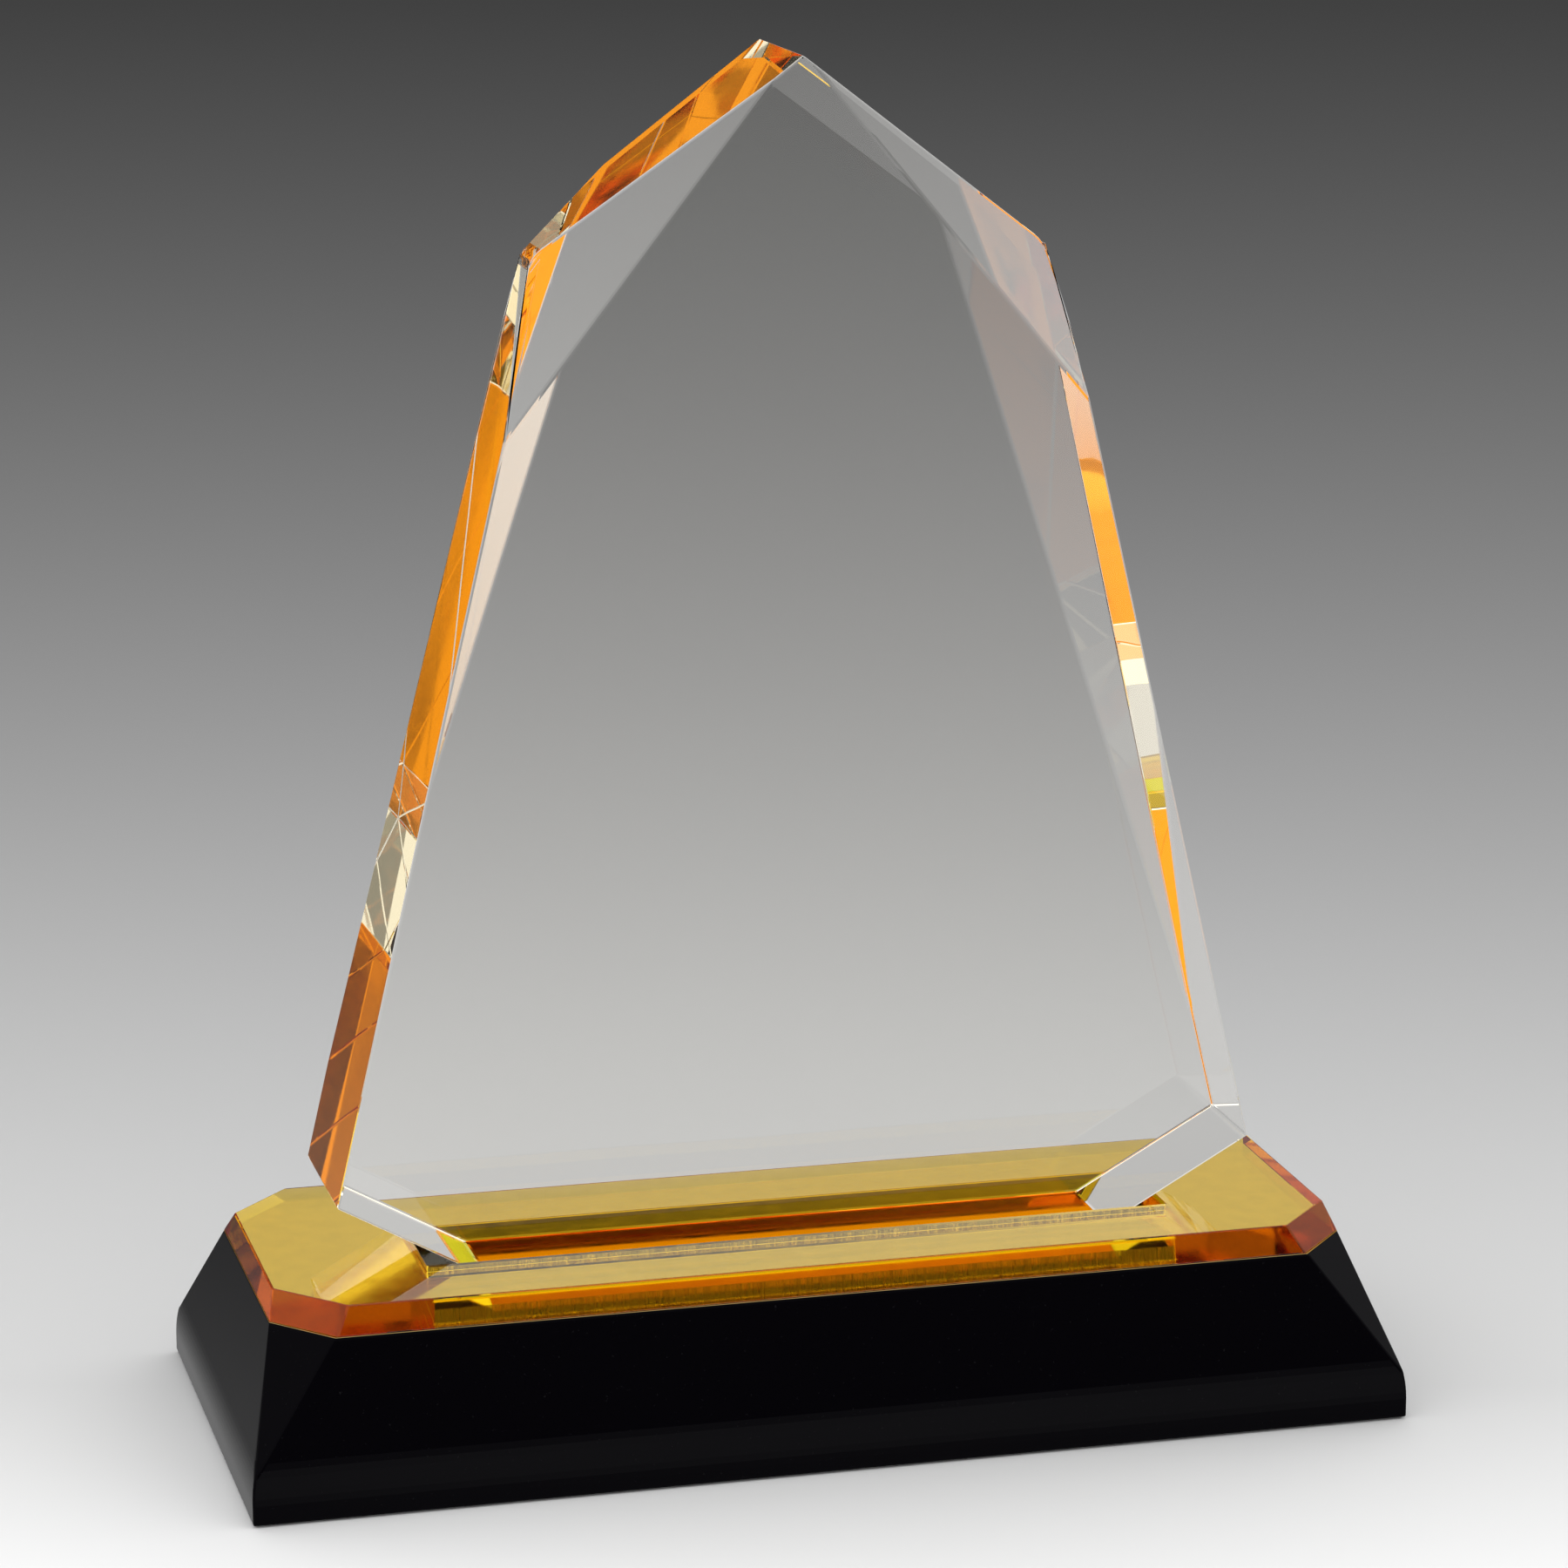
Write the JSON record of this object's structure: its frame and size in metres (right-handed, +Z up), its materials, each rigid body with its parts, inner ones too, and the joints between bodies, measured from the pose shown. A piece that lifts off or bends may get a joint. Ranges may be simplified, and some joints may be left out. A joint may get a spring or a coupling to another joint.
{
  "type": "crystal award",
  "caption": "Free-standing award: a clear faceted plate with a peaked top, whose edges pick up amber from its mirrored foot, bonded into a slotted amber plate on a sloping black block.",
  "frame": {"origin": "on the resting plane, under the middle of the base", "axes": "+Z up, +X to the right seen from the front, the front faces -Y"},
  "size_m": [0.127, 0.0556, 0.1482],
  "materials": {
    "clear_acrylic": "polished",
    "amber_mirror": "mirror film",
    "amber_acrylic": "polished",
    "gold_mirror": "mirror film",
    "black_acrylic": "polished",
    "bond": "matte",
    "felt": "felt"
  },
  "bodies": {
    "root": {"upright": "clear_acrylic", "foot_mirror": "amber_mirror", "amber_plate": "amber_acrylic", "plate_mirror": "gold_mirror", "black_block": "black_acrylic", "bond_pad": "bond", "felt_pad": "felt"}
  },
  "joints": []
}
